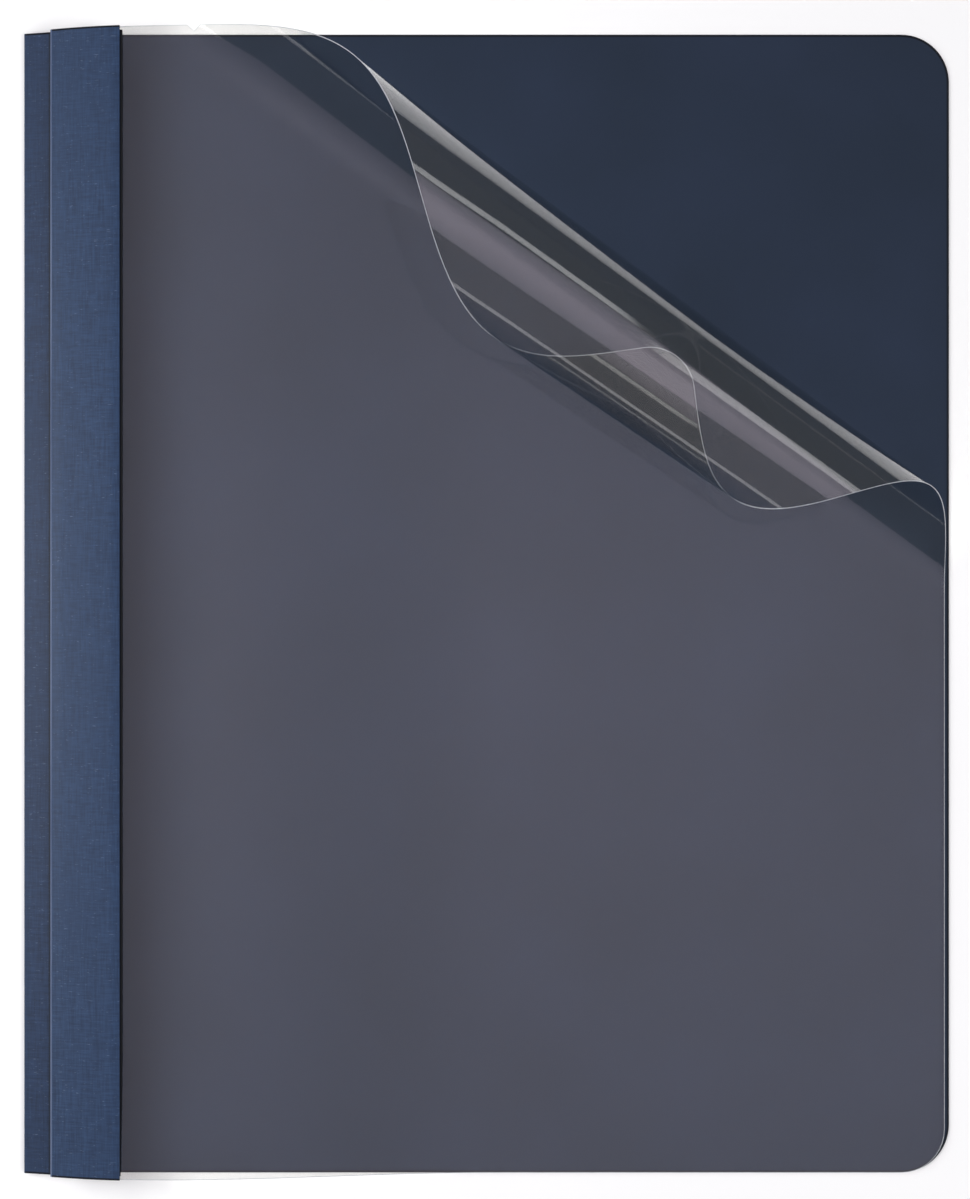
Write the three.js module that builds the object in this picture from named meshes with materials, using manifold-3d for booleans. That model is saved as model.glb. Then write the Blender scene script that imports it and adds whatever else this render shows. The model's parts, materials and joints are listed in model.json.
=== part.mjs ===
// Report cover: a linen card folder with a gusset spine, three prong fasteners
// and a clear film front whose free corner has rolled itself up.
// Millimetres. X runs from the spine to the open edge, Y along the spine, Z up.
import * as THREE from 'three';
import Module from 'manifold-3d';
import { mergeVertices } from 'three/addons/utils/BufferGeometryUtils.js';

const wasm = await Module();
wasm.setup();

// Back panel
const panelWidth = 232;
const panelHeight = 285.75;
const cardThickness = 0.4;
const cornerRadius = 12;

// Fits between pieces
const runningGap = 0.3;
const glueGap = 0.25;
const hingeGap = 0.3;

// Spine gusset, folded like a V lying on its side
const gussetDepth = 9.6;
const gussetRise = 2.0;
const creaseInset = 7.6;
const creaseHeight = 4.6;

// Front flange, a strip of the same card
const flangeWidth = 17.6;
const flangeRise = 3.4;
const flangeStartSlope = 0.28;
const flangeEndSlope = 0.1;
const flangeSteps = 6;

// Clear film front
const filmThickness = 0.2;
const glueMargin = 13;
const filmSetback = 1.2;
const filmTopSetback = 0.1;
const touchDown = 118;
const notchInset = 43.8;
const notchWidth = 3.3;
const notchDepth = 1.5;

// Rolled corner of the film: a cone wound from the lift line towards the corner
const liftAngle = 34.84;
const cornerReach = 115.2;
const coneLength = 740;
const rollStartRadius = 18.3;
const rollEndRadius = 13.8;
const rollRamp = 1.6;
const rollRayStep = 2.8;
const flatRayStep = 9;
const raySteps = 22;
const turnStep = 0.4;

// Fasteners and the card strip that covers their bases
const fastenerPitch = 107.95;
const fastenerInset = 19;
const metalThickness = 0.3;
const baseWidth = 6;
const baseLength = 24;
const prongWidth = 3;
const prongSpread = 12;
const prongLength = 24;
const prongRise = 1.7;
const prongBend = 0.6;
const stripInset = 11;
const stripWidth = 12.5;
const stripEndMargin = 9;
const stripCover = 0.4;

// Points on each quarter bend and round corner
const bendSteps = 4;
const cornerSteps = 8;

// Materials
const linenCard = new THREE.MeshStandardMaterial({ color: '#3f4b66', roughness: 0.75, metalness: 0 });
const smoothCard = new THREE.MeshStandardMaterial({ color: '#2e3646', roughness: 0.7, metalness: 0 });
const clearFilm = new THREE.MeshStandardMaterial({ color: '#c9ccd2', roughness: 0.1, metalness: 0, transparent: true, opacity: 0.3 });
const stripCard = new THREE.MeshStandardMaterial({ color: '#333c50', roughness: 0.8, metalness: 0 });
const platedSteel = new THREE.MeshStandardMaterial({ color: '#b9bcc0', roughness: 0.35, metalness: 1 });

// Levels and lines that the pieces share
const panelLeft = -panelWidth / 2;
const panelRight = panelWidth / 2;
const panelTop = panelHeight / 2;
const pivotHeight = cardThickness + runningGap + cardThickness / 2;
const creaseX = panelLeft + creaseInset;
const flangeEdgeX = creaseX + flangeWidth;
const flangeEdgeHeight = creaseHeight + flangeRise;
const filmDrop = cardThickness / 2 + glueGap + filmThickness / 2;
const filmRest = cardThickness + runningGap + filmThickness / 2;

// A cubic that leaves one height and reaches another at given slopes
function blendHeight(t, span, startHeight, startSlope, endHeight, endSlope) {
  const t2 = t * t;
  const t3 = t2 * t;
  const startPart = (2 * t3 - 3 * t2 + 1) * startHeight + (t3 - 2 * t2 + t) * startSlope * span;
  const endPart = (3 * t2 - 2 * t3) * endHeight + (t3 - t2) * endSlope * span;
  return startPart + endPart;
}

// Height of the flange's middle plane above the table
function flangeHeight(x) {
  const t = (x - creaseX) / flangeWidth;
  return blendHeight(t, flangeWidth, creaseHeight, flangeStartSlope, flangeEdgeHeight, flangeEndSlope);
}

// Height of the film before its corner rolls: under the flange, then down onto the back
function filmHeight(x) {
  if (x < flangeEdgeX) {
    return flangeHeight(x) - filmDrop;
  }
  const span = touchDown + panelLeft - flangeEdgeX;
  const t = Math.min(1, (x - flangeEdgeX) / span);
  return blendHeight(t, span, flangeEdgeHeight - filmDrop, flangeEndSlope, filmRest, 0);
}

// A closed outline of even thickness around a middle line
function ribbonShape(line, thickness) {
  const upper = [];
  const lower = [];
  line.forEach((point, i) => {
    const before = line[Math.max(0, i - 1)];
    const after = line[Math.min(line.length - 1, i + 1)];
    const incoming = i > 0 ? point.clone().sub(before).normalize() : after.clone().sub(point).normalize();
    const outgoing = i < line.length - 1 ? after.clone().sub(point).normalize() : incoming.clone();
    const middle = incoming.clone().add(outgoing).normalize();
    const normal = new THREE.Vector2(-middle.y, middle.x);
    const reach = thickness / 2 / middle.dot(outgoing);
    upper.push(point.clone().addScaledVector(normal, reach));
    lower.push(point.clone().addScaledVector(normal, -reach));
  });
  return new THREE.Shape([...lower, ...upper.reverse()]);
}

// Points of a middle line whose inner corners are rounded
function roundedLine(corners, radius) {
  const line = [corners[0]];
  for (let i = 1; i < corners.length - 1; i += 1) {
    const start = corners[i].clone().lerp(corners[i - 1], radius / corners[i].distanceTo(corners[i - 1]));
    const end = corners[i].clone().lerp(corners[i + 1], radius / corners[i].distanceTo(corners[i + 1]));
    const bend = new THREE.QuadraticBezierCurve(start, corners[i], end);
    line.push(...bend.getPoints(bendSteps));
  }
  line.push(corners[corners.length - 1]);
  return line;
}

// An outline drawn in X and Z, drawn out along Y about the middle
function extrudeAlongY(shape, length) {
  const geometry = new THREE.ExtrudeGeometry(shape, { depth: length, bevelEnabled: false });
  geometry.translate(0, 0, -length / 2);
  const turn = new THREE.Matrix4().makeBasis(
    new THREE.Vector3(1, 0, 0), new THREE.Vector3(0, 0, 1), new THREE.Vector3(0, -1, 0));
  return geometry.applyMatrix4(turn);
}

// An outline drawn in Y and Z, drawn out along X about the middle
function extrudeAlongX(shape, length) {
  const geometry = new THREE.ExtrudeGeometry(shape, { depth: length, bevelEnabled: false });
  geometry.translate(0, 0, -length / 2);
  const turn = new THREE.Matrix4().makeBasis(
    new THREE.Vector3(0, 1, 0), new THREE.Vector3(0, 0, 1), new THREE.Vector3(1, 0, 0));
  return geometry.applyMatrix4(turn);
}

// Closed geometry to a solid that can be cut, and back
function toSolid(geometry) {
  const bare = geometry.clone();
  bare.deleteAttribute('normal');
  bare.deleteAttribute('uv');
  const merged = mergeVertices(bare, 1e-5);
  return new wasm.Manifold(new wasm.Mesh({
    numProp: 3,
    vertProperties: new Float32Array(merged.attributes.position.array),
    triVerts: new Uint32Array(merged.index.array),
  }));
}

function toGeometry(solid) {
  const mesh = solid.getMesh();
  const geometry = new THREE.BufferGeometry();
  geometry.setAttribute('position', new THREE.BufferAttribute(new Float32Array(mesh.vertProperties), 3));
  geometry.setIndex(new THREE.BufferAttribute(new Uint32Array(mesh.triVerts), 1));
  geometry.computeVertexNormals();
  return geometry;
}

function box(width, length, height, x, y, z) {
  return new THREE.BoxGeometry(width, length, height).translate(x, y, z);
}

// A sheet outline with square corners at the spine and round ones at the open edge
function sheetShape(left, right, top, radius) {
  const shape = new THREE.Shape();
  shape.moveTo(left, -top);
  shape.lineTo(right - radius, -top);
  shape.absarc(right - radius, -top + radius, radius, -Math.PI / 2, 0, false);
  shape.lineTo(right, top - radius);
  shape.absarc(right - radius, top - radius, radius, 0, Math.PI / 2, false);
  shape.lineTo(left, top);
  return shape;
}

// Back cover: one flat panel of card
function makeBackCover() {
  const shape = sheetShape(panelLeft, panelRight, panelTop, cornerRadius);
  const geometry = new THREE.ExtrudeGeometry(shape, {
    depth: cardThickness, bevelEnabled: false, curveSegments: cornerSteps });
  return new THREE.Mesh(geometry, smoothCard);
}

// Spine: the gusset, scored along its middle so that it folds inwards
function makeSpine() {
  const foot = new THREE.Vector2(panelLeft + cardThickness / 2, pivotHeight);
  const score = new THREE.Vector2(panelLeft + gussetDepth, pivotHeight + gussetRise);
  const crease = new THREE.Vector2(creaseX, creaseHeight);
  const setback = (hingeGap + cardThickness / 2) / score.distanceTo(crease);
  const line = roundedLine([foot, score, crease.clone().lerp(score, setback)], cardThickness);
  return new THREE.Mesh(extrudeAlongY(ribbonShape(line, cardThickness), panelHeight), linenCard);
}

// Front flange: the strip of card that grips the film, bowed a little
function makeFlange() {
  const line = [];
  for (let i = 0; i <= flangeSteps; i += 1) {
    const x = creaseX + flangeWidth * i / flangeSteps;
    line.push(new THREE.Vector2(x, flangeHeight(x)));
  }
  return new THREE.Mesh(extrudeAlongY(ribbonShape(line, cardThickness), panelHeight), linenCard);
}

// Flat outline of the film and the cone that its corner rolls round
const filmLeft = flangeEdgeX - glueMargin;
const filmRight = panelRight - filmSetback;
const filmTop = panelTop - filmTopSetback;
const filmRadius = cornerRadius - filmSetback;
const liftTurn = THREE.MathUtils.degToRad(liftAngle);
const along = new THREE.Vector2(Math.cos(liftTurn), -Math.sin(liftTurn));
const across = new THREE.Vector2(Math.sin(liftTurn), Math.cos(liftTurn));
const apex = new THREE.Vector2(filmRight, filmTop)
  .addScaledVector(across, -cornerReach)
  .addScaledVector(along, coneLength);

// Unit rays of the rolled cone, one for each small turn from the lift line
const coneRays = [];
function windCone() {
  const ray = new THREE.Vector3(1, 0, 0);
  const side = new THREE.Vector3(0, 1, 0);
  const step = turnStep / coneLength;
  const count = Math.ceil(cornerReach / turnStep) + 1;
  for (let i = 0; i <= count; i += 1) {
    coneRays.push(ray.clone());
    const distance = (i + 0.5) * turnStep;
    const share = Math.min(1, distance / cornerReach);
    const curve = (1 - share) / rollStartRadius + share / rollEndRadius;
    const bend = coneLength * curve * Math.min(1, distance / rollRamp);
    const spin = ray.clone().cross(side).addScaledVector(ray, bend);
    const turn = new THREE.Quaternion().setFromAxisAngle(spin.clone().normalize(), spin.length() * step);
    ray.applyQuaternion(turn);
    side.applyQuaternion(turn);
  }
}
windCone();

// Where a point of the flat film lies once the corner has rolled
function rolledPoint(flat) {
  const offset = flat.clone().sub(apex);
  const reach = offset.length();
  const angle = Math.atan2(offset.dot(across), -offset.dot(along));
  const lifted = new THREE.Vector3(flat.x, flat.y, 0);
  if (angle > 0) {
    const place = angle * coneLength / turnStep;
    const index = Math.min(coneRays.length - 2, Math.floor(place));
    const ray = coneRays[index].clone().lerp(coneRays[index + 1], place - index);
    lifted.set(apex.x, apex.y, 0);
    lifted.x += reach * (across.x * ray.y - along.x * ray.x);
    lifted.y += reach * (across.y * ray.y - along.y * ray.x);
    lifted.z = reach * ray.z;
  }
  lifted.z += filmHeight(lifted.x);
  return lifted;
}

// Nearest and farthest points where a ray from the apex crosses the film's outline
function rayThroughFilm(angle, outline) {
  const heading = new THREE.Vector2()
    .addScaledVector(along, -Math.cos(angle))
    .addScaledVector(across, Math.sin(angle));
  const hits = [];
  outline.forEach((start, i) => {
    const end = outline[(i + 1) % outline.length];
    const edge = end.clone().sub(start);
    const toStart = start.clone().sub(apex);
    const spread = heading.cross(edge);
    const place = toStart.cross(heading) / spread;
    if (place >= 0 && place <= 1) {
      hits.push(toStart.cross(edge) / spread);
    }
  });
  const ends = [Math.min(...hits), Math.max(...hits)];
  return ends.map((reach) => apex.clone().addScaledVector(heading, reach));
}

// Angles of the rays: close together in the roll, wider apart on the flat
function rayAngles(outline) {
  const angles = outline.map((point) => {
    const offset = point.clone().sub(apex);
    return Math.atan2(offset.dot(across), -offset.dot(along));
  });
  const sliver = 1e-5;
  const last = Math.max(...angles) - sliver;
  const first = Math.min(...angles) + sliver;
  const rollCount = Math.ceil(last * coneLength / rollRayStep);
  const flatCount = Math.ceil(-first * coneLength / flatRayStep);
  const rolled = Array.from({ length: rollCount }, (_, i) => last * (i + 1) / rollCount);
  const flat = Array.from({ length: flatCount + 1 }, (_, i) => first * (1 - i / flatCount));
  return [...flat, ...rolled];
}

// A closed sheet from rows of middle points, half its thickness to each side
function sheetGeometry(rows, thickness) {
  const columns = rows[0].length;
  const points = [[], []];
  rows.forEach((row, i) => {
    row.forEach((point, j) => {
      const rowStep = rows[Math.min(rows.length - 1, i + 1)][j].clone().sub(rows[Math.max(0, i - 1)][j]);
      const rayStep = row[Math.min(columns - 1, j + 1)].clone().sub(row[Math.max(0, j - 1)]);
      const normal = rowStep.cross(rayStep).normalize();
      points[0].push(point.clone().addScaledVector(normal, thickness / 2));
      points[1].push(point.clone().addScaledVector(normal, -thickness / 2));
    });
  });
  const size = points[0].length;
  const index = [];
  const quad = (a, b, c, d) => index.push(a, b, c, a, c, d);
  for (let i = 0; i < rows.length - 1; i += 1) {
    for (let j = 0; j < columns - 1; j += 1) {
      const corner = i * columns + j;
      quad(corner, corner + columns, corner + columns + 1, corner + 1);
      quad(size + corner, size + corner + 1, size + corner + columns + 1, size + corner + columns);
    }
  }
  const rim = [];
  for (let j = 0; j < columns; j += 1) rim.push(j);
  for (let i = 1; i < rows.length; i += 1) rim.push(i * columns + columns - 1);
  for (let j = columns - 2; j >= 0; j -= 1) rim.push((rows.length - 1) * columns + j);
  for (let i = rows.length - 2; i > 0; i -= 1) rim.push(i * columns);
  rim.forEach((from, i) => {
    const to = rim[(i + 1) % rim.length];
    quad(from, to, size + to, size + from);
  });
  const geometry = new THREE.BufferGeometry();
  const flat = points.flat().flatMap((point) => point.toArray());
  geometry.setAttribute('position', new THREE.Float32BufferAttribute(flat, 3));
  geometry.setIndex(index);
  geometry.computeVertexNormals();
  return geometry;
}

// Clear front: the film, its corner rolled, with a small nick in its top edge
function makeClearFront() {
  const outline = sheetShape(filmLeft, filmRight, filmTop, filmRadius).getPoints(cornerSteps);
  const rows = rayAngles(outline).map((angle) => {
    const [near, far] = rayThroughFilm(angle, outline);
    return Array.from({ length: raySteps + 1 }, (_, j) => rolledPoint(far.clone().lerp(near, j / raySteps)));
  });
  const sheet = sheetGeometry(rows, filmThickness);
  const notchX = panelLeft + notchInset;
  const notch = new THREE.Shape([
    new THREE.Vector2(notchX - notchWidth / 2, panelTop + notchDepth),
    new THREE.Vector2(notchX - notchWidth / 2, filmTop),
    new THREE.Vector2(notchX, filmTop - notchDepth),
    new THREE.Vector2(notchX + notchWidth / 2, filmTop),
    new THREE.Vector2(notchX + notchWidth / 2, panelTop + notchDepth),
  ]);
  const cutter = new THREE.ExtrudeGeometry(notch, { depth: flangeEdgeHeight * 2, bevelEnabled: false });
  const solid = toSolid(sheet).subtract(toSolid(cutter));
  return new THREE.Mesh(toGeometry(solid), clearFilm);
}

// Reinforcing strip: card glued to the back over the fasteners' bases
const fastenerX = panelLeft + fastenerInset;
const fastenerPlaces = { top: fastenerPitch, middle: 0, bottom: -fastenerPitch };
const recessHeight = metalThickness + runningGap;
const stripTop = cardThickness + recessHeight + stripCover;

function makeStrip() {
  const height = stripTop - cardThickness;
  const length = panelHeight - 2 * stripEndMargin;
  const middle = panelLeft + stripInset + stripWidth / 2;
  let solid = toSolid(box(stripWidth, length, height, middle, 0, cardThickness + height / 2));
  Object.values(fastenerPlaces).forEach((y) => {
    const roof = cardThickness + recessHeight;
    const recess = box(baseWidth + 2 * runningGap, baseLength + 2 * runningGap, roof, fastenerX, y, roof / 2);
    solid = solid.subtract(toSolid(recess));
    [-1, 1].forEach((side) => {
      const slotY = y + side * prongSpread / 2;
      const slotLength = metalThickness + 2 * prongBend;
      const slot = box(prongWidth + 2 * runningGap, slotLength, stripTop * 2, fastenerX, slotY, stripTop);
      solid = solid.subtract(toSolid(slot));
    });
  });
  return new THREE.Mesh(toGeometry(solid), stripCard);
}

// Fastener: a base plate with two soft steel prongs, bent up and folded flat
function makeFastener(y) {
  const low = cardThickness + metalThickness / 2;
  const high = stripTop + prongRise - metalThickness / 2;
  const half = prongSpread / 2;
  const corners = [
    new THREE.Vector2(-half - prongLength, high),
    new THREE.Vector2(-half, high),
    new THREE.Vector2(-half, low),
    new THREE.Vector2(half, low),
    new THREE.Vector2(half, high),
    new THREE.Vector2(half + prongLength, high),
  ];
  const ribbon = extrudeAlongX(ribbonShape(roundedLine(corners, prongBend), metalThickness), prongWidth);
  const tip = half + prongLength - prongWidth / 2;
  const plan = new THREE.Shape();
  plan.absarc(0, tip, prongWidth / 2, 0, Math.PI, false);
  plan.absarc(0, -tip, prongWidth / 2, Math.PI, 2 * Math.PI, false);
  const rounding = new THREE.ExtrudeGeometry(plan, {
    depth: 2 * high, bevelEnabled: false, curveSegments: cornerSteps });
  const base = box(baseWidth, baseLength, metalThickness, 0, 0, low);
  const solid = toSolid(ribbon).intersect(toSolid(rounding)).add(toSolid(base));
  const mesh = new THREE.Mesh(toGeometry(solid), platedSteel);
  mesh.position.set(fastenerX, y, 0);
  return mesh;
}

// Assembly
const cover = new THREE.Group();
function addPiece(name, mesh) {
  mesh.name = name;
  cover.add(mesh);
}
addPiece('back_cover', makeBackCover());
addPiece('spine', makeSpine());
addPiece('front_flange', makeFlange());
addPiece('clear_front', makeClearFront());
addPiece('fastener_strip', makeStrip());
Object.entries(fastenerPlaces).forEach(([place, y]) => addPiece(`fastener_${place}`, makeFastener(y)));

export default cover;
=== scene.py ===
# %% [markdown]
# # A report cover with a rolled clear front
#
# The cover is one sheet of embossed card, folded at a gusset spine, with a clear film
# front and three steel prong fasteners. It lies on its back. The free corner of the film
# has rolled itself up, and that roll is what the eye sees first.
#
# The measured solids come in as a fixed frame. This script gives them their finishes,
# winds the film once more from a flat sheet, closes the fold between back and spine, and
# sets the light and the camera.

# %% Load the frame and measure it
import bpy
import bmesh
import json
import math
from mathutils import Matrix, Quaternion, Vector


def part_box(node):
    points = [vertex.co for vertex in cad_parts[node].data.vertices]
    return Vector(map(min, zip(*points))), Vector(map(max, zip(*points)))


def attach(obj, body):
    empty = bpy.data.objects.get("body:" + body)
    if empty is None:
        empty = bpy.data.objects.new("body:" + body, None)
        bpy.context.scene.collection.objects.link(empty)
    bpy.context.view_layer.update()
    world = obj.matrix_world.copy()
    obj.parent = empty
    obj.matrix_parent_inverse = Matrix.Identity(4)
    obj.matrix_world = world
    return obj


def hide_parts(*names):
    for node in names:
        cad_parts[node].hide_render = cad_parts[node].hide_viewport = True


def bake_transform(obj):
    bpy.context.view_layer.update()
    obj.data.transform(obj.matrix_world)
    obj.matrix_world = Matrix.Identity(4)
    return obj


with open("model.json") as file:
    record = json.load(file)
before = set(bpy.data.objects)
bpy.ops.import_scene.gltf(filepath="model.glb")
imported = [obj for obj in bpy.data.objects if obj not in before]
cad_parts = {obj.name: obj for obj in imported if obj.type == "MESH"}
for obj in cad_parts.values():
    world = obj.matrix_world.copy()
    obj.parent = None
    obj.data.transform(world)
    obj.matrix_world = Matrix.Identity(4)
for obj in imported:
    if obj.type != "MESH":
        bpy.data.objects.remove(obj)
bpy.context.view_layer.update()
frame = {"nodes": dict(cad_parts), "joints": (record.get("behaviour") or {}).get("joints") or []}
MM = 0.001
# The line where the film lifts is turned by this much from the cover's width.
LIFT_ANGLE = math.radians(34.84)


def node_box(node):
    """The lowest and the highest corner of a measured piece."""
    low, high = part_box(node)
    return Vector(low), Vector(high)


back_low, back_high = node_box("back_cover")
card_thickness = back_high.z - back_low.z
cover_size = back_high - back_low
joints = {joint["name"]: joint for joint in frame["joints"]}
print("cover", [round(v / MM, 2) for v in cover_size], "card", round(card_thickness / MM, 2))

# %% [markdown]
# ## The camera
#
# The photo looks straight down. The corners of the raised flange stand a little outside
# the flat back, and that growth gives the height of the lens: about half a metre. The
# point under the lens isn't the middle of the picture, so the lens is shifted a little
# instead of tilted, which keeps the cover's edges parallel.

# %% Camera
PICTURE = (970, 1199)
LENS_PIXEL = (505, 650)
COVER_LEFT_PIXEL = 25.5
COVER_RIGHT_PIXEL = 948.6
COVER_MIDDLE_ROW = 603.6
LENS_HEIGHT = 503 * MM

scale = (COVER_RIGHT_PIXEL - COVER_LEFT_PIXEL) / cover_size.x
lens_x = back_low.x + (LENS_PIXEL[0] - COVER_LEFT_PIXEL) / scale
lens_y = (COVER_MIDDLE_ROW - LENS_PIXEL[1]) / scale
camera_data = bpy.data.cameras.new("camera")
camera_data.sensor_fit = "VERTICAL"
camera_data.angle_y = 2 * math.atan(PICTURE[1] / 2 / (scale * LENS_HEIGHT))
camera_data.shift_x = (PICTURE[0] / 2 - LENS_PIXEL[0]) / PICTURE[1]
camera_data.shift_y = (LENS_PIXEL[1] - PICTURE[1] / 2) / PICTURE[1]
camera = bpy.data.objects.new("camera", camera_data)
camera.location = (lens_x, lens_y, LENS_HEIGHT)
bpy.context.scene.collection.objects.link(camera)
bpy.context.scene.camera = camera
print("lens over", round(lens_x / MM, 1), round(lens_y / MM, 1), "mm")

# %% [markdown]
# ## Four small helpers
#
# Every finish below is made by the same few moves: a colour written as the eye knows it, a
# node with its settings, an empty material, and a point on the piece in the piece's own
# coordinates. Written once each, they keep the finishes short.

# %% Helpers for colours and nodes
def srgb(hex_code):
    """An sRGB colour such as '3f4b66' as linear red, green, blue and alpha."""
    values = [int(hex_code[i:i + 2], 16) / 255 for i in (0, 2, 4)]
    linear = [v / 12.92 if v <= 0.04045 else ((v + 0.055) / 1.055) ** 2.4 for v in values]
    return (*linear, 1.0)


def add_node(tree, kind, settings=None, links=None):
    """A node with its settings by name, and its inputs fed by value or by another node's output."""
    node = tree.nodes.new(kind)
    for name, value in (settings or {}).items():
        setattr(node, name, value)
    for name, value in (links or {}).items():
        socket = node.inputs[name]
        if isinstance(value, bpy.types.NodeSocket):
            tree.links.new(value, socket)
        else:
            socket.default_value = value
    return node


def new_material(name):
    """An empty material and its node tree."""
    material = bpy.data.materials.new(name)
    material.use_nodes = True
    material.node_tree.nodes.clear()
    return material, material.node_tree


def object_point(tree, cell):
    """Object coordinates counted in cells of a pattern, whose size along each axis is in metres."""
    place = add_node(tree, "ShaderNodeTexCoord")
    return add_node(tree, "ShaderNodeMapping", links={
        "Vector": place.outputs["Object"], "Scale": [1 / size for size in cell]}).outputs[0]


print("mid grey is", round(srgb("808080")[0], 3), "in linear light")

# %% [markdown]
# ## The floor
#
# The cover lies on pale paper that runs out of sight, so a plane of several metres does for
# it. Faint clouds in its colour keep it from looking like an empty white page.

# %% Floor
FLOOR_SIZE = 6.0
PAPER_CLOUD = 150 * MM
bpy.ops.mesh.primitive_plane_add(size=FLOOR_SIZE, location=(0, 0, 0))
floor = bpy.context.object
floor.name = "floor"
floor_material, tree = new_material("pale_paper_floor")
speckle = add_node(tree, "ShaderNodeTexNoise", links={
    "Vector": object_point(tree, (PAPER_CLOUD, PAPER_CLOUD, 1.0)), "Scale": 1.0, "Detail": 3.0})
floor_colour = add_node(tree, "ShaderNodeMix", {"data_type": "RGBA"}, {
    "Factor": speckle.outputs[0], "A": srgb("f6f6f6"), "B": srgb("f9f9f9")})
floor_shader = add_node(tree, "ShaderNodeBsdfPrincipled", links={
    "Base Color": floor_colour.outputs["Result"], "Roughness": 0.9, "Specular IOR Level": 0.2})
add_node(tree, "ShaderNodeOutputMaterial", links={"Surface": floor_shader.outputs[0]})
floor.data.materials.append(floor_material)
print("floor", FLOOR_SIZE, "m wide, clouds", round(PAPER_CLOUD / MM), "mm")

# %% [markdown]
# ## The light
#
# Clear film shows whatever it reflects, so the lights are shaped for that. A large dim card
# hangs high over the cover and lies on the flat film as an even veil, which stops where the
# film starts to lift. A second card draws the pale bands along the roll. The boxes that light
# the card stand off the ends of the roll, where a cylinder can't mirror them to the lens, and
# so they leave the dark band along the roll that tells its shape.

# %% Sky and lights
SKY_LEVEL = 0.12
world = bpy.data.worlds.new("studio")
bpy.context.scene.world = world
world.use_nodes = True
world.node_tree.nodes["Background"].inputs["Color"].default_value = (1, 1, 1, 1)
world.node_tree.nodes["Background"].inputs["Strength"].default_value = SKY_LEVEL


def soft_box(name, place, aim, size, radiance, tint=(1.0, 1.0, 1.0), spread=180, turn=0.0):
    """A rectangular lamp in metres that faces a point, turned about its own axis.
    A spread under 180 degrees fades it off that axis."""
    width, height = size
    lamp = bpy.data.lights.new(name, "AREA")
    lamp.color = tint
    lamp.spread = math.radians(spread)
    lamp.shape = "RECTANGLE"
    lamp.size = width
    lamp.size_y = height
    lamp.energy = radiance * math.pi * width * height
    item = bpy.data.objects.new(name, lamp)
    item.location = place
    facing = (Vector(aim) - Vector(place)).to_track_quat("-Z", "Y")
    item.rotation_euler = (facing @ Quaternion((0, 0, 1), turn)).to_euler()
    item.visible_camera = False
    bpy.context.scene.collection.objects.link(item)


# The veil on the flat film. The film gives it a faint purple.
VEIL_TINT = (0.93, 0.82, 1.0)
soft_box("veil_card", place=(-0.125, 0.01, 1.5), aim=(-0.125, 0.01, 0.0), size=(1.45, 1.34),
         radiance=0.19, tint=VEIL_TINT, spread=95)
# The bands along the roll, and a short glint at its upper end.
soft_box("band_card", place=(0.64, 0.22, 1.48), aim=(0.64, 0.22, 0.0), size=(0.6, 0.36),
         radiance=1.1, turn=-LIFT_ANGLE)
soft_box("glint_card", place=(0.56, 0.86, 1.5), aim=(0.1, 0.05, 0.0), size=(0.2, 0.24), radiance=1.3)
# The light on the card. The small box grazes the spine and shows the threads there.
soft_box("left_box", place=(-1.25, 0.0, 1.15), aim=(0, 0, 0), size=(0.9, 1.1), radiance=3.6)
soft_box("spine_box", place=(-0.42, 0.02, 0.2), aim=(-0.1, 0.0, 0.0), size=(0.15, 0.12), radiance=14.0)
soft_box("rear_box", place=(-0.75, 1.15, 1.0), aim=(0, 0, 0), size=(1.1, 0.7), radiance=1.9)
soft_box("right_box", place=(1.15, -0.45, 1.0), aim=(0, 0, 0), size=(1.0, 1.0), radiance=5.2)
bpy.context.scene.view_settings.view_transform = "Standard"

# %% [markdown]
# ## Linen card
#
# The outside of the cover is dyed card pressed with a linen grain: short threads that run
# up and across, broken at random. Noise stretched along each direction gives such threads.
# Two sets are added and used for a slight change of colour and for the bump. A third,
# sparse set leaves the pale scuffs that handling makes on the tops of the threads. Real
# threads lie about 0.25 mm apart, which the picture can't show, so they are drawn wider.

# %% Linen card
THREAD_PITCH = 0.4 * MM
THREAD_LENGTH = 6 * MM
CROSS_THREAD_LENGTH = 3.75 * MM
DYE_PATCH = (16.7 * MM, 28.6 * MM, 16.7 * MM)
SCUFF_LENGTH = 1.6 * MM
SCUFF_WIDTH = 0.3 * MM
SCUFF_COLOUR = "6f7d96"
# Painted shade where the spine runs in under the flange: its colour, and how far it ramps.
PAINTED_SHADE_COLOUR = "0b0f17"
PAINTED_SHADE_RAMP = 0.6 * MM
PAINTED_SHADE_REACH = 0.85 * MM
LINEN_RELIEF = 0.045 * MM


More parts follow.
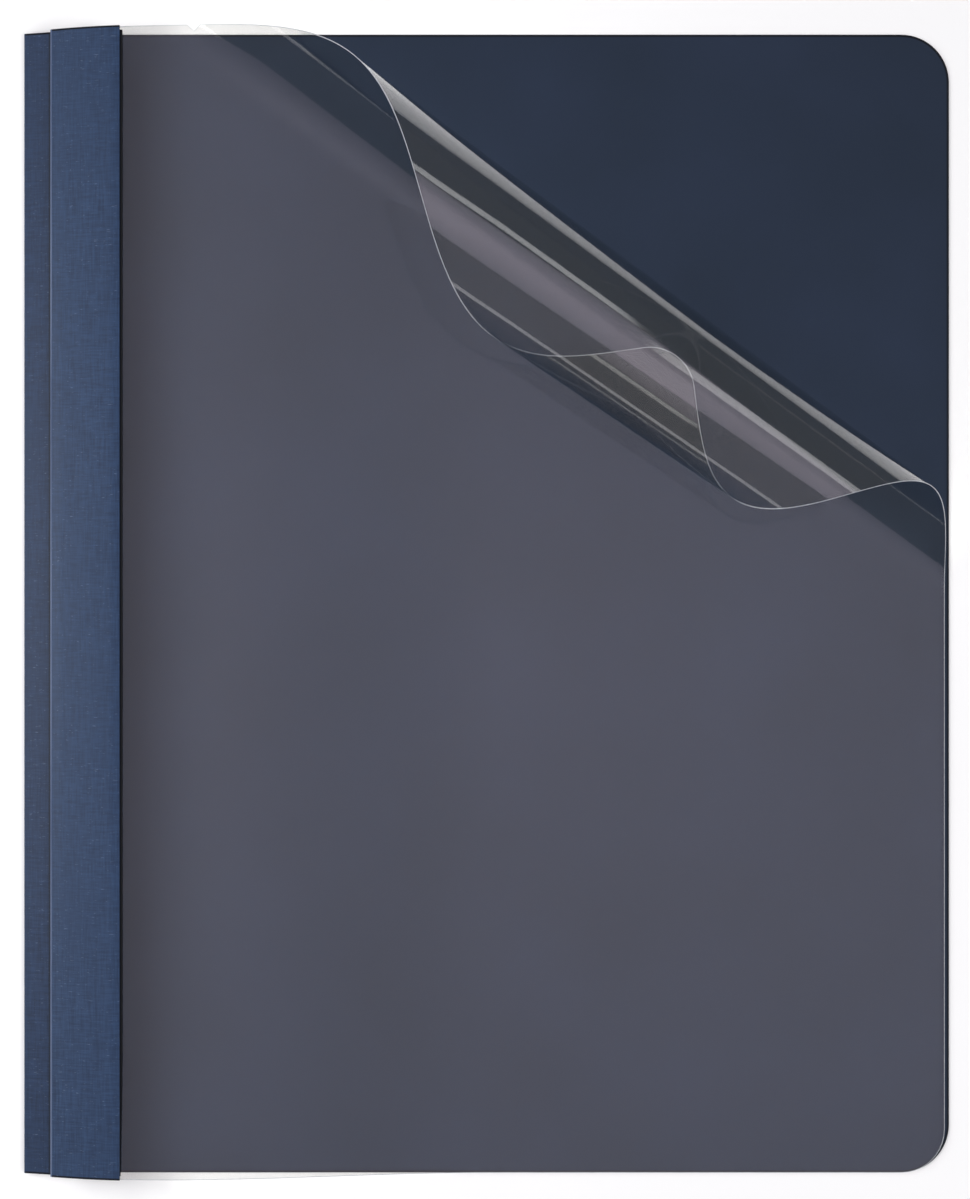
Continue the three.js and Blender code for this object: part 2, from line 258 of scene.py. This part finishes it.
def linen_card(name, base, light, dark, bump_height, roughness, shade_x=None):
    """Dyed card with a pressed linen grain: the threads catch the light, the valleys stay dark.
    Near shade_x the card is painted darker, a painted shade where it runs in under the next layer."""
    material, tree = new_material(name)
    upright = add_node(tree, "ShaderNodeTexNoise", links={
        "Vector": object_point(tree, (THREAD_PITCH, THREAD_LENGTH, THREAD_PITCH)),
        "Scale": 1.0, "Detail": 2.0})
    level = add_node(tree, "ShaderNodeTexNoise", links={
        "Vector": object_point(tree, (CROSS_THREAD_LENGTH, THREAD_PITCH, THREAD_LENGTH)),
        "Scale": 1.0, "Detail": 2.0})
    patches = add_node(tree, "ShaderNodeTexNoise", links={
        "Vector": object_point(tree, DYE_PATCH), "Scale": 1.0, "Detail": 3.0})
    both = add_node(tree, "ShaderNodeMath", {"operation": "ADD"}, {
        0: upright.outputs[0], 1: level.outputs[0]})
    grain = add_node(tree, "ShaderNodeMapRange", links={
        "Value": both.outputs[0], "From Min": 0.72, "From Max": 1.28})
    tone = add_node(tree, "ShaderNodeMix", {"data_type": "RGBA"}, {
        "Factor": grain.outputs[0], "A": srgb(dark), "B": srgb(light)})
    cloud = add_node(tree, "ShaderNodeMapRange", links={
        "Value": patches.outputs[0], "From Min": 0.35, "From Max": 0.7, "To Max": 0.5})
    colour = add_node(tree, "ShaderNodeMix", {"data_type": "RGBA"}, {
        "Factor": cloud.outputs[0], "A": tone.outputs["Result"], "B": srgb(base)})
    scuffs = add_node(tree, "ShaderNodeTexNoise", links={
        "Vector": object_point(tree, (SCUFF_LENGTH, SCUFF_WIDTH, SCUFF_WIDTH)),
        "Scale": 1.0, "Detail": 2.0})
    rubbed = add_node(tree, "ShaderNodeMapRange", links={
        "Value": scuffs.outputs[0], "From Min": 0.67, "From Max": 0.74, "To Max": 0.4})
    colour = add_node(tree, "ShaderNodeMix", {"data_type": "RGBA"}, {
        "Factor": rubbed.outputs[0], "A": colour.outputs["Result"], "B": srgb(SCUFF_COLOUR)})
    # Painted shade: the card darkens towards shade_x, where the flange's folded edge overhangs it.
    if shade_x is not None:
        place = add_node(tree, "ShaderNodeSeparateXYZ", links={"Vector": object_point(tree, (1, 1, 1))})
        fold_shade_mask = add_node(tree, "ShaderNodeMapRange", links={
            "Value": place.outputs["X"], "From Min": shade_x - PAINTED_SHADE_RAMP, "From Max": shade_x,
            "To Max": 0.9})
        colour = add_node(tree, "ShaderNodeMix", {"data_type": "RGBA"}, {
            "Factor": fold_shade_mask.outputs[0], "A": colour.outputs["Result"], "B": srgb(PAINTED_SHADE_COLOUR)})
    bump = add_node(tree, "ShaderNodeBump", links={
        "Height": grain.outputs[0], "Strength": 0.6, "Distance": bump_height})
    shader = add_node(tree, "ShaderNodeBsdfPrincipled", links={
        "Base Color": colour.outputs["Result"], "Roughness": roughness, "Normal": bump.outputs[0],
        "Specular IOR Level": 0.22, "IOR": 1.5})
    add_node(tree, "ShaderNodeOutputMaterial", links={"Surface": shader.outputs[0]})
    return material


crease = Vector(joints["front_hinge"]["pos_m"])
outer_card = linen_card("linen_embossed_card", "243652", "2b405f", "1f2f49", LINEN_RELIEF, 0.55)
# The spine's card is a darker copy of the cover's linen, as painted shade, and deeper painted shade by
# the crease.
spine_linen_shaded = linen_card("linen_card_painted_shade", "1e2e48", "243755", "1a2840", LINEN_RELIEF, 0.58,
                         crease.x - PAINTED_SHADE_REACH)
print("linen threads", round(THREAD_PITCH / MM, 2), "mm apart on", outer_card.name, spine_linen_shaded.name)

# %% [markdown]
# ## Plain card
#
# The inside of the same card isn't pressed. It is smoother and darker, with a fine tooth
# of paper fibres and a faint unevenness of the dye. The fibres are drawn a few times wider
# than real ones, which would be too fine to see here.

# %% Smooth card
FIBRE = 0.35 * MM
FIBRE_RELIEF = 0.01 * MM
DYE_CLOUD = 45.5 * MM


def smooth_card(name, colour_low, colour_high, roughness):
    """Dyed card that isn't pressed: matt, a little cloudy, with a tooth of fibres."""
    material, tree = new_material(name)
    fibres = add_node(tree, "ShaderNodeTexNoise", links={
        "Vector": object_point(tree, (FIBRE, FIBRE, FIBRE)), "Scale": 1.0, "Detail": 4.0})
    dye = add_node(tree, "ShaderNodeTexNoise", links={
        "Vector": object_point(tree, (DYE_CLOUD, DYE_CLOUD, DYE_CLOUD)), "Scale": 1.0, "Detail": 4.0})
    clouds = add_node(tree, "ShaderNodeMapRange", links={
        "Value": dye.outputs[0], "From Min": 0.3, "From Max": 0.7})
    colour = add_node(tree, "ShaderNodeMix", {"data_type": "RGBA"}, {
        "Factor": clouds.outputs[0], "A": srgb(colour_low), "B": srgb(colour_high)})
    bump = add_node(tree, "ShaderNodeBump", links={
        "Height": fibres.outputs[0], "Strength": 0.3, "Distance": FIBRE_RELIEF})
    shader = add_node(tree, "ShaderNodeBsdfPrincipled", links={
        "Base Color": colour.outputs["Result"], "Roughness": roughness, "Normal": bump.outputs[0],
        "Specular IOR Level": 0.2})
    add_node(tree, "ShaderNodeOutputMaterial", links={"Surface": shader.outputs[0]})
    return material


inner_card = smooth_card("smooth_dyed_card", "1c2737", "212c3f", 0.66)
strip_card = smooth_card("reinforcing_card_strip", "222b3f", "283247", 0.75)
print("plain card", inner_card.name, strip_card.name, "fibres", round(FIBRE / MM, 2), "mm")

# %% [markdown]
# ## Plated steel
#
# The prongs are stamped from soft steel strip and plated. Rolling leaves fine lines along
# the strip, and the plating is bright but not a mirror.

# %% Plated steel
ROLLING_LINE = 0.12 * MM
ROLLING_STREAK = 33.3 * MM
ROLLING_RELIEF = 0.01 * MM
plated_steel, tree = new_material("plated_steel_strip")
lines = add_node(tree, "ShaderNodeTexNoise", links={
    "Vector": object_point(tree, (ROLLING_LINE, ROLLING_STREAK, ROLLING_LINE)),
    "Scale": 1.0, "Detail": 2.0})
polish = add_node(tree, "ShaderNodeMapRange", links={
    "Value": lines.outputs[0], "To Min": 0.22, "To Max": 0.42})
bump = add_node(tree, "ShaderNodeBump", links={
    "Height": lines.outputs[0], "Strength": 0.3, "Distance": ROLLING_RELIEF})
shader = add_node(tree, "ShaderNodeBsdfPrincipled", links={
    "Base Color": srgb("d6d7d9"), "Metallic": 1.0, "Roughness": polish.outputs[0],
    "Normal": bump.outputs[0]})
add_node(tree, "ShaderNodeOutputMaterial", links={"Surface": shader.outputs[0]})
print("steel", plated_steel.name, "rolling lines", round(ROLLING_LINE / MM, 2), "mm")

# %% [markdown]
# ## Clear film
#
# The front is clear plastic film, about a fifth of a millimetre thick and slightly grey.
# It is clear like glass and has two faces, so it reflects on both. Light that is bent through
# such a surface is hard to trace, and would leave dark noisy shadows. So rays that only ask
# whether a lamp is hidden, and rays that another face has mirrored, go straight through.
# Where the film is bent, the lens sees more of the room in it than this small studio holds,
# so the bent part mirrors a little more strongly.

# %% Clear film
SMEAR = 71.4 * MM
FLAT_COAT = 1.5
BENT_COAT = 1.8


def clear_plastic(name, coat_ior):
    """Clear film: a body that hardly bends light, under a glossy skin that mirrors the studio."""
    material, tree = new_material(name)
    haze = add_node(tree, "ShaderNodeTexNoise", links={
        "Vector": object_point(tree, (SMEAR, SMEAR, SMEAR)), "Scale": 1.0, "Detail": 5.0})
    smear = add_node(tree, "ShaderNodeMapRange", links={
        "Value": haze.outputs[0], "From Min": 0.35, "From Max": 0.75, "To Min": 0.0, "To Max": 0.06})
    plastic = add_node(tree, "ShaderNodeBsdfPrincipled", links={
        "Base Color": srgb("e7e7e5"), "Roughness": smear.outputs[0], "IOR": 1.01,
        "Transmission Weight": 1.0, "Coat Weight": 1.0, "Coat IOR": coat_ior, "Coat Roughness": 0.07})
    clear_way = add_node(tree, "ShaderNodeBsdfTransparent", links={"Color": srgb("fafaf9")})
    light_path = add_node(tree, "ShaderNodeLightPath")
    mirrored = add_node(tree, "ShaderNodeMath", {"operation": "SUBTRACT", "use_clamp": True}, {
        0: light_path.outputs["Is Glossy Ray"], 1: light_path.outputs["Is Transmission Ray"]})
    straight_on = add_node(tree, "ShaderNodeMath", {"operation": "MAXIMUM"}, {
        0: light_path.outputs["Is Shadow Ray"], 1: mirrored.outputs[0]})
    film_mix = add_node(tree, "ShaderNodeMixShader", links={
        0: straight_on.outputs[0], 1: plastic.outputs[0], 2: clear_way.outputs[0]})
    add_node(tree, "ShaderNodeOutputMaterial", links={"Surface": film_mix.outputs[0]})
    return material


clear_film = clear_plastic("clear_pvc_film", FLAT_COAT)
bent_film = clear_plastic("clear_pvc_film_bent", BENT_COAT)
print("film finishes", clear_film.name, bent_film.name)

# %% [markdown]
# ## The film's cut edge
#
# A guillotine leaves the edge of the film frosted. Its pale colour is partly that frosting
# and partly painted light, for the light the edge gathers from inside the sheet, so it shows as a thin
# pale line all round, brightest along the roll.

# %% Cut edge
CUT_NICK = 1.11 * MM
# Partly frosting, partly painted light: pale grey for the edge's gathered light.
lit_frosted_film_edge, tree = new_material("frosted_film_edge_painted_light")
nicks = add_node(tree, "ShaderNodeTexNoise", links={
    "Vector": object_point(tree, (CUT_NICK, CUT_NICK, CUT_NICK)), "Scale": 1.0, "Detail": 2.0})
edge_colour = add_node(tree, "ShaderNodeMix", {"data_type": "RGBA"}, {
    "Factor": nicks.outputs[0], "A": srgb("9a9da3"), "B": srgb("c9ccd1")})
shader = add_node(tree, "ShaderNodeBsdfPrincipled", links={
    "Base Color": edge_colour.outputs["Result"], "Roughness": 0.5})
add_node(tree, "ShaderNodeOutputMaterial", links={"Surface": shader.outputs[0]})
print("cut edge", lit_frosted_film_edge.name)

# %% [markdown]
# ## Pieces that keep their measured shape
#
# The card strip and the steel fasteners are right as they are, so only their finish
# changes.

# %% Finish the measured pieces
def finish_node(node, material):
    """The measured piece in its own finish, with its shape untouched."""
    item = frame["nodes"][node]
    item.data.materials.clear()
    item.data.materials.append(material)
    print(node, "in", material.name)


finish_node("fastener_strip", strip_card)
for place in ("top", "middle", "bottom"):
    finish_node(f"fastener_{place}", plated_steel)

# %% [markdown]
# ## Clean copies
#
# A measured solid comes in as loose triangles. A copy of it is welded and its triangles are
# paired into four-sided faces, because only then can its edges be rounded cleanly.

# %% Copy a solid as clean faces
WELD = 0.001 * MM
SHARP = math.radians(50)
FLAT_PAIR = math.radians(12)


def clean_copy(node):
    """A bmesh of the node's solid: welded, and its loose triangles joined into quads."""
    mesh = bmesh.new()
    mesh.from_mesh(frame["nodes"][node].data)
    bmesh.ops.remove_doubles(mesh, verts=mesh.verts, dist=WELD)
    bmesh.ops.join_triangles(mesh, faces=mesh.faces, angle_face_threshold=FLAT_PAIR,
                             angle_shape_threshold=math.radians(180))
    return mesh


def put_mesh(mesh, name, material, body):
    """The bmesh as an object at the origin, smooth but for its sharp edges, riding on a body."""
    data = bpy.data.meshes.new(name)
    for face in mesh.faces:
        face.smooth = True
    for edge in mesh.edges:
        edge.smooth = not (edge.is_manifold and edge.calc_face_angle(0) > SHARP)
    mesh.to_mesh(data)
    mesh.free()
    item = bpy.data.objects.new(name, data)
    bpy.context.scene.collection.objects.link(item)
    data.materials.append(material)
    if body:
        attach(item, body)
    return item


print("edges over", round(math.degrees(SHARP)), "degrees stay sharp")

# %% [markdown]
# ## Cut the film flat
#
# The film starts as the flat sheet that the maker cuts: square corners under the flange,
# round ones on the open side, and a small V nick in the top edge. A border of a tenth of a
# millimetre is marked off all round for the frosted cut.

# %% Flat film
FILM_THICKNESS = 0.2 * MM
GLUE_MARGIN = 13 * MM
FILM_SETBACK = 1.2 * MM
FILM_TOP_SETBACK = 0.1 * MM
CORNER_RADIUS = 12 * MM
CORNER_STEPS = 10
NICK_INSET = 43.8 * MM
NICK_WIDTH = 3.3 * MM
NICK_DEPTH = 1.5 * MM
FROSTED_BORDER = 0.1 * MM
CUT_TOLERANCE = 1e-7
BENT_SLOT = 1
EDGE_SLOT = 2
flange_edge_x = node_box("front_flange")[1].x
film_left = flange_edge_x - GLUE_MARGIN
film_right = back_high.x - FILM_SETBACK
film_top = back_high.y - FILM_TOP_SETBACK
nick_x = back_low.x + NICK_INSET


def slice_sheet(mesh, point, direction):
    """A straight cut through the whole sheet, which leaves both sides joined."""
    bmesh.ops.bisect_plane(mesh, geom=mesh.verts[:] + mesh.edges[:] + mesh.faces[:],
                           plane_co=point, plane_no=direction, dist=CUT_TOLERANCE)


sheet = bmesh.new()
bmesh.ops.create_grid(sheet, x_segments=1, y_segments=1, size=0.5)
bmesh.ops.scale(sheet, verts=sheet.verts, vec=(film_right - film_left, 2 * film_top, 1))
bmesh.ops.translate(sheet, verts=sheet.verts, vec=((film_left + film_right) / 2, 0, 0))
for offset in (-NICK_WIDTH / 2, 0, NICK_WIDTH / 2):
    slice_sheet(sheet, (nick_x + offset, 0, 0), (1, 0, 0))
for vert in sheet.verts:
    if vert.co.y > 0 and abs(vert.co.x - nick_x) < MM / 10:
        vert.co.y -= NICK_DEPTH
open_corners = [vert for vert in sheet.verts if vert.co.x > film_right - MM]
bmesh.ops.bevel(sheet, geom=open_corners, offset=CORNER_RADIUS - FILM_SETBACK,
                segments=CORNER_STEPS, affect="VERTICES", profile=0.5, material=-1)
border = bmesh.ops.inset_region(sheet, faces=sheet.faces[:], thickness=FROSTED_BORDER,
                                use_boundary=True, use_even_offset=True)
for face in border["faces"]:
    face.material_index = EDGE_SLOT
print("flat film", round((film_right - film_left) / MM, 1), "by", round(2 * film_top / MM, 1), "mm")

# %% [markdown]
# ## Slice the sheet for bending
#
# A sheet can only bend where it has edges. Beyond the lift line it is cut into strips under a
# millimetre wide, so that the roll mirrors smoothly, and wide strips do for the flat part.
# Cuts the other way let it follow the cone and the drop from the flange.

# %% Slice along and across the lift line
CORNER_REACH = 115.2 * MM
FLAT_SLICE = 4 * MM
ROLL_SLICE = 0.8 * MM
ROLL_LEAD = 2 * MM
LONG_SLICE = 6 * MM
along = Vector((math.cos(LIFT_ANGLE), -math.sin(LIFT_ANGLE), 0))
across = Vector((math.sin(LIFT_ANGLE), math.cos(LIFT_ANGLE), 0))
lift_point = Vector((film_right, film_top, 0)) - across * CORNER_REACH
distances = [(vert.co - lift_point).dot(across) for vert in sheet.verts]
cut_at = min(distances) + FLAT_SLICE
while cut_at < max(distances):
    slice_sheet(sheet, lift_point + across * cut_at, across)
    cut_at += ROLL_SLICE if cut_at > -ROLL_LEAD else FLAT_SLICE
reaches = [(vert.co - lift_point).dot(along) for vert in sheet.verts]
cut_at = min(reaches) + LONG_SLICE
while cut_at < max(reaches):
    slice_sheet(sheet, lift_point + along * cut_at, along)
    cut_at += LONG_SLICE
print("film faces", len(sheet.faces))

# %% [markdown]
# ## The cone
#
# Film doesn't stretch, so a rolled corner is always part of a cone or a cylinder. The roll
# turns about rays that all meet in one far point, the cone's apex. Going from ray to ray the
# sheet turns by its arc length over its radius, and the radius gets tighter towards the
# free corner. Every point of the flat sheet keeps its distance from the apex, so the rolled
# sheet is as large as the flat one.

# %% Cone
CONE_LENGTH = 740 * MM
ROLL_START_RADIUS = 18.3 * MM
ROLL_END_RADIUS = 13.8 * MM
ROLL_RAMP = 1.6 * MM
TURN_STEP = 0.4 * MM
apex = lift_point + along * CONE_LENGTH


def wound_rays():
    """Unit rays from the apex, one for each small step of arc, as the sheet winds up."""
    ray, side, rays = Vector((1, 0, 0)), Vector((0, 1, 0)), []
    for count in range(math.ceil(CORNER_REACH / TURN_STEP) + 2):
        rays.append(ray.copy())
        distance = (count + 0.5) * TURN_STEP
        share = min(1.0, distance / CORNER_REACH)
        curve = (1 - share) / ROLL_START_RADIUS + share / ROLL_END_RADIUS
        bend = CONE_LENGTH * curve * min(1.0, distance / ROLL_RAMP)
        spin = ray.cross(side) + ray * bend
        turn = Quaternion(spin.normalized(), spin.length * TURN_STEP / CONE_LENGTH)
        ray, side = turn @ ray, turn @ side
    return rays


cone_rays = wound_rays()
print("cone of", len(cone_rays), "rays,", round(CONE_LENGTH / MM), "mm long")

# %% [markdown]
# ## The film's height
#
# Before its corner rolls, the film follows the underside of the flange and comes down onto
# the back some way to the right. A cubic joins two heights and two slopes, which is how a
# springy sheet settles between two places that hold it.

# %% Height of the flat film
FLANGE_RISE = 3.4 * MM
FLANGE_START_SLOPE = 0.28
FLANGE_END_SLOPE = 0.1
TOUCH_DOWN = 118 * MM
GLUE_GAP = 0.25 * MM
RESTING_GAP = 0.3 * MM
FILM_DROP = card_thickness / 2 + GLUE_GAP + FILM_THICKNESS / 2
FILM_REST = card_thickness + RESTING_GAP + FILM_THICKNESS / 2


def eased(share, span, start, start_slope, end, end_slope):
    """A cubic from one height and slope to another."""
    square, cube = share ** 2, share ** 3
    first = (2 * cube - 3 * square + 1) * start + (cube - 2 * square + share) * start_slope * span
    return first + (3 * square - 2 * cube) * end + (cube - square) * end_slope * span


def flat_height(x):
    """Height of the film's middle before its corner rolls: under the flange, then down to the back."""
    edge_height = crease.z + FLANGE_RISE
    if x < flange_edge_x:
        width = flange_edge_x - crease.x
        return eased((x - crease.x) / width, width, crease.z, FLANGE_START_SLOPE, edge_height,
                     FLANGE_END_SLOPE) - FILM_DROP
    span = back_low.x + TOUCH_DOWN - flange_edge_x
    return eased(min(1.0, (x - flange_edge_x) / span), span, edge_height - FILM_DROP,
                 FLANGE_END_SLOPE, FILM_REST, 0.0)


print("film leaves the flange at", round(flat_height(flange_edge_x) / MM, 2), "mm")

# %% [markdown]
# ## Wind the sheet
#
# Each point of the flat sheet keeps its distance from the apex and goes to the ray that its
# angle names. The sheet gets its thickness last, by a Solidify modifier whose rim takes the
# frosted finish.

# %% Wind the film and give it its thickness
BENT_START = 25 * MM


def rolled(flat):
    """Where a point of the flat sheet lies once the corner has wound up."""
    offset = flat - apex
    angle = math.atan2(offset.dot(across), -offset.dot(along))
    place = Vector((flat.x, flat.y, 0))
    if angle > 0:
        step = angle * CONE_LENGTH / TURN_STEP
        index = min(len(cone_rays) - 2, int(step))
        ray = cone_rays[index].lerp(cone_rays[index + 1], step - index)
        place = apex + offset.length * (across * ray.y - along * ray.x + Vector((0, 0, ray.z)))
    place.z += flat_height(place.x)
    return place


for face in sheet.faces:
    past_lift = (face.calc_center_median() - lift_point).dot(across) > BENT_START
    if past_lift and face.material_index != EDGE_SLOT:
        face.material_index = BENT_SLOT
for vert in sheet.verts:
    vert.co = rolled(vert.co)
film = put_mesh(sheet, "clear_film_sheet", clear_film, "front")
film.data.materials.append(bent_film)
film.data.materials.append(lit_frosted_film_edge)
thicken = film.modifiers.new("film_thickness", "SOLIDIFY")
thicken.thickness = FILM_THICKNESS
thicken.offset = 0.0
thicken.use_even_offset = True
thicken.material_offset_rim = 1
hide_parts("clear_front")
print("rolled film rises to", round(max(v.co.z for v in film.data.vertices) / MM, 1), "mm")

# %% [markdown]
# ## Flange and spine
#
# Card that has been scored and folded has soft edges. The solids' long edges get a small
# bevel, and the outside keeps its linen grain. The spine's card is painted darker as shade,
# darkest where it runs in under the fold, and painted shade lines the two cut ends.

# %% Flange and spine
CARD_EDGE = 0.09 * MM
SHADED_END = 0.5 * MM
# Painted shade: near-black card for the cut ends and for the panel's rim.
edge_shade_card = smooth_card("painted_shade_card_edge", "0d1119", "131924", 0.8)


def folded_card(node, name, body, finish):
    """The node's card with soft edges, in its own finish, with painted shade at its two cut ends."""
    mesh = clean_copy(node)
    sharp = [e for e in mesh.edges if e.is_manifold and e.calc_face_angle(0) > SHARP]
    bmesh.ops.bevel(mesh, geom=sharp, offset=CARD_EDGE, segments=2, affect="EDGES", profile=0.5,
                    material=-1)
    for side in (-1, 1):
        cut = side * (cover_size.y / 2 - SHADED_END)
        bmesh.ops.bisect_plane(mesh, geom=mesh.verts[:] + mesh.edges[:] + mesh.faces[:],
                               plane_co=(0, cut, 0), plane_no=(0, 1, 0))
    for face in mesh.faces:
        from_middle = abs(face.calc_center_median().y)
        face.material_index = int(from_middle > cover_size.y / 2 - SHADED_END)
    item = put_mesh(mesh, name, finish, body)
    item.data.materials.append(edge_shade_card)
    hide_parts(node)
    return item


flange = folded_card("front_flange", "flange_card", "front", outer_card)
spine = folded_card("spine", "spine_card", "spine", spine_linen_shaded)
print("flange faces", len(flange.data.polygons), "spine faces", len(spine.data.polygons))

# %% [markdown]
# ## The back panel
#
# One sheet with two faces: smooth inside, linen outside. Its bevelled rim and a narrow
# border inside it are painted dark, a painted shade that shows all round as a fine line.
# The copy's flat faces are first dissolved into one face each, so that the bevel and the
# inset border run round them evenly.

# %% Back panel
SHADED_BORDER = 0.5 * MM
PANEL_EDGE = 0.1 * MM
SHADED_SLOT = 2
LEVEL = 0.99
panel_mesh = clean_copy("back_cover")
bmesh.ops.dissolve_limit(panel_mesh, angle_limit=math.radians(1), verts=panel_mesh.verts,
                         edges=panel_mesh.edges)
rim = [e for e in panel_mesh.edges if e.calc_face_angle(0) > SHARP]
bmesh.ops.bevel(panel_mesh, geom=rim, offset=PANEL_EDGE, segments=2, affect="EDGES", profile=0.5,
                material=-1)
panel_mesh.normal_update()
for face in panel_mesh.faces:
    # Painted shade: the bevelled rim faces, and below the narrow border inside them, take the dark
    # card.
    face.material_index = SHADED_SLOT if abs(face.normal.z) < LEVEL else int(face.normal.z < 0)
inside = [face for face in panel_mesh.faces if face.material_index == 0]
ring = bmesh.ops.inset_region(panel_mesh, faces=inside, thickness=SHADED_BORDER,
                              use_boundary=True, use_even_offset=True)
for face in ring["faces"]:
    face.material_index = SHADED_SLOT
panel = put_mesh(panel_mesh, "back_panel_card", inner_card, "back")
panel.data.materials.append(outer_card)
panel.data.materials.append(edge_shade_card)
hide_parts("back_cover")
print("panel faces", len(panel.data.polygons))

# %% [markdown]
# ## The fold behind the spine
#
# The sheet of card bends round where the back panel turns into the spine. The fold is a half
# round strip, spun about its own axis. It rides on neither body and stays where it is made.

# %% Fold
FOLD_CARD = 0.9
FOLD_STEPS = 10


def fold_strip(name, centre, radius, start, sweep):
    """Card a little thinner than the cover's, bent round an axis along Y from one angle on."""
    mesh = bmesh.new()
    bmesh.ops.create_grid(mesh, x_segments=1, y_segments=1, size=0.5)
    thick = card_thickness * FOLD_CARD
    bmesh.ops.scale(mesh, verts=mesh.verts, vec=(thick, cover_size.y, 1.0))
    bmesh.ops.translate(mesh, verts=mesh.verts, vec=(radius, 0, 0))
    turn = Matrix.Rotation(-start, 4, "Y")
    bmesh.ops.transform(mesh, matrix=Matrix.Translation(centre) @ turn, verts=mesh.verts)
    bmesh.ops.spin(mesh, geom=mesh.verts[:] + mesh.edges[:] + mesh.faces[:], cent=centre,
                   axis=(0, -1, 0), angle=sweep, steps=FOLD_STEPS, use_merge=False)
    bmesh.ops.recalc_face_normals(mesh, faces=mesh.faces)
    item = put_mesh(mesh, name, outer_card, None)
    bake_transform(item)
    return item


pivot = Vector(joints["spine_hinge"]["pos_m"])
half_card = card_thickness / 2
fold_radius = (pivot.z - half_card) / 2
fold_centre = Vector((pivot.x + fold_radius / 2, 0, half_card + fold_radius))
back_fold = fold_strip("spine_back_fold", fold_centre, fold_radius, math.radians(90), math.radians(180))
print("fold radius", round(fold_radius / MM, 2), "mm, faces", len(back_fold.data.polygons))

# %% [markdown]
# ## The bead at the flange's crease
#
# Scoring pushes a fine bead of card up along the fold. Its card is painted much lighter than
# the cover's, a painted highlight for the bright line between the spine and the flange, and it rounds
# the flange's hinge edge.

# %% Crease bead
BEAD_RADIUS = 0.3 * MM
BEAD_SHORTER = 0.2 * MM
# Painted highlight: light card that draws the bright line along the crease.
bead_highlight_card = smooth_card("painted_highlight_card_ridge", "465470", "5d6a84", 0.6)
bead_mesh = bmesh.new()
bmesh.ops.create_cone(bead_mesh, cap_ends=True, cap_tris=False, segments=16, radius1=BEAD_RADIUS,
                      radius2=BEAD_RADIUS, depth=cover_size.y - BEAD_SHORTER)
bmesh.ops.rotate(bead_mesh, verts=bead_mesh.verts, cent=(0, 0, 0),
                 matrix=Matrix.Rotation(math.radians(90), 3, "X"))
bmesh.ops.translate(bead_mesh, verts=bead_mesh.verts, vec=crease)
put_mesh(bead_mesh, "flange_crease_bead", bead_highlight_card, "front")
print("bead", round(2 * BEAD_RADIUS / MM, 2), "mm across")

# %% [markdown]
# ## The shade line by the flange
#
# A near-black strip fills the narrow gap between card and film under the flange and reaches
# a little past the flange's edge. It is painted shade: it shows through the film as a black
# line that thins out towards the foot of the cover.

# %% Painted shade line
SHADE_PAST_EDGE = 0.6 * MM
SHADE_UNDER = 3.0 * MM
SHADE_CLEAR = 0.03 * MM
SHADE_SHORTER = 2 * MM
SHADE_CUTS = 24
SHADE_FOOT = 30 * MM
SHADE_THINNEST = 0.2
LONG_EDGE = 100 * MM
flange_high = node_box("front_flange")[1]
shade_top = flange_high.z - card_thickness - SHADE_CLEAR
shade_mesh = bmesh.new()
bmesh.ops.create_cube(shade_mesh, size=1.0)
bmesh.ops.scale(shade_mesh, verts=shade_mesh.verts, vec=(
    SHADE_UNDER + SHADE_PAST_EDGE, cover_size.y - SHADE_SHORTER, GLUE_GAP - 2 * SHADE_CLEAR))
bmesh.ops.rotate(shade_mesh, verts=shade_mesh.verts, cent=(0, 0, 0),
                 matrix=Matrix.Rotation(-math.atan(FLANGE_END_SLOPE), 3, "Y"))
bmesh.ops.translate(shade_mesh, verts=shade_mesh.verts, vec=(
    flange_edge_x + (SHADE_PAST_EDGE - SHADE_UNDER) / 2, 0,
    shade_top - GLUE_GAP / 2 - FLANGE_END_SLOPE * (SHADE_UNDER - SHADE_PAST_EDGE) / 2))
long_edges = [e for e in shade_mesh.edges if e.calc_length() > LONG_EDGE]
bmesh.ops.subdivide_edges(shade_mesh, edges=long_edges, cuts=SHADE_CUTS, use_grid_fill=True)
foot = -cover_size.y / 2
for vert in shade_mesh.verts:
    share = min(1.0, max(0.0, (vert.co.y - foot) / SHADE_FOOT))
    if vert.co.x > flange_edge_x:
        width = SHADE_THINNEST + (1 - SHADE_THINNEST) * share
        vert.co.x = flange_edge_x + (vert.co.x - flange_edge_x) * width
SHADE_SPECK = 0.67 * MM
# Painted shade: near-black, where the flange's edge shades the film.
shade_finish, tree = new_material("painted_shade_strip")
specks = add_node(tree, "ShaderNodeTexNoise", links={
    "Vector": object_point(tree, (SHADE_SPECK, SHADE_SPECK, SHADE_SPECK)), "Scale": 1.0, "Detail": 2.0})
shade_colour = add_node(tree, "ShaderNodeMix", {"data_type": "RGBA"}, {
    "Factor": specks.outputs[0], "A": srgb("05060a"), "B": srgb("0d0f15")})
shader = add_node(tree, "ShaderNodeBsdfPrincipled", links={
    "Base Color": shade_colour.outputs["Result"], "Roughness": 0.6, "Specular IOR Level": 0.2})
add_node(tree, "ShaderNodeOutputMaterial", links={"Surface": shader.outputs[0]})
put_mesh(shade_mesh, "painted_shade_line", shade_finish, "front")
print("glue line shows", round(SHADE_PAST_EDGE / MM, 2), "mm past the flange")
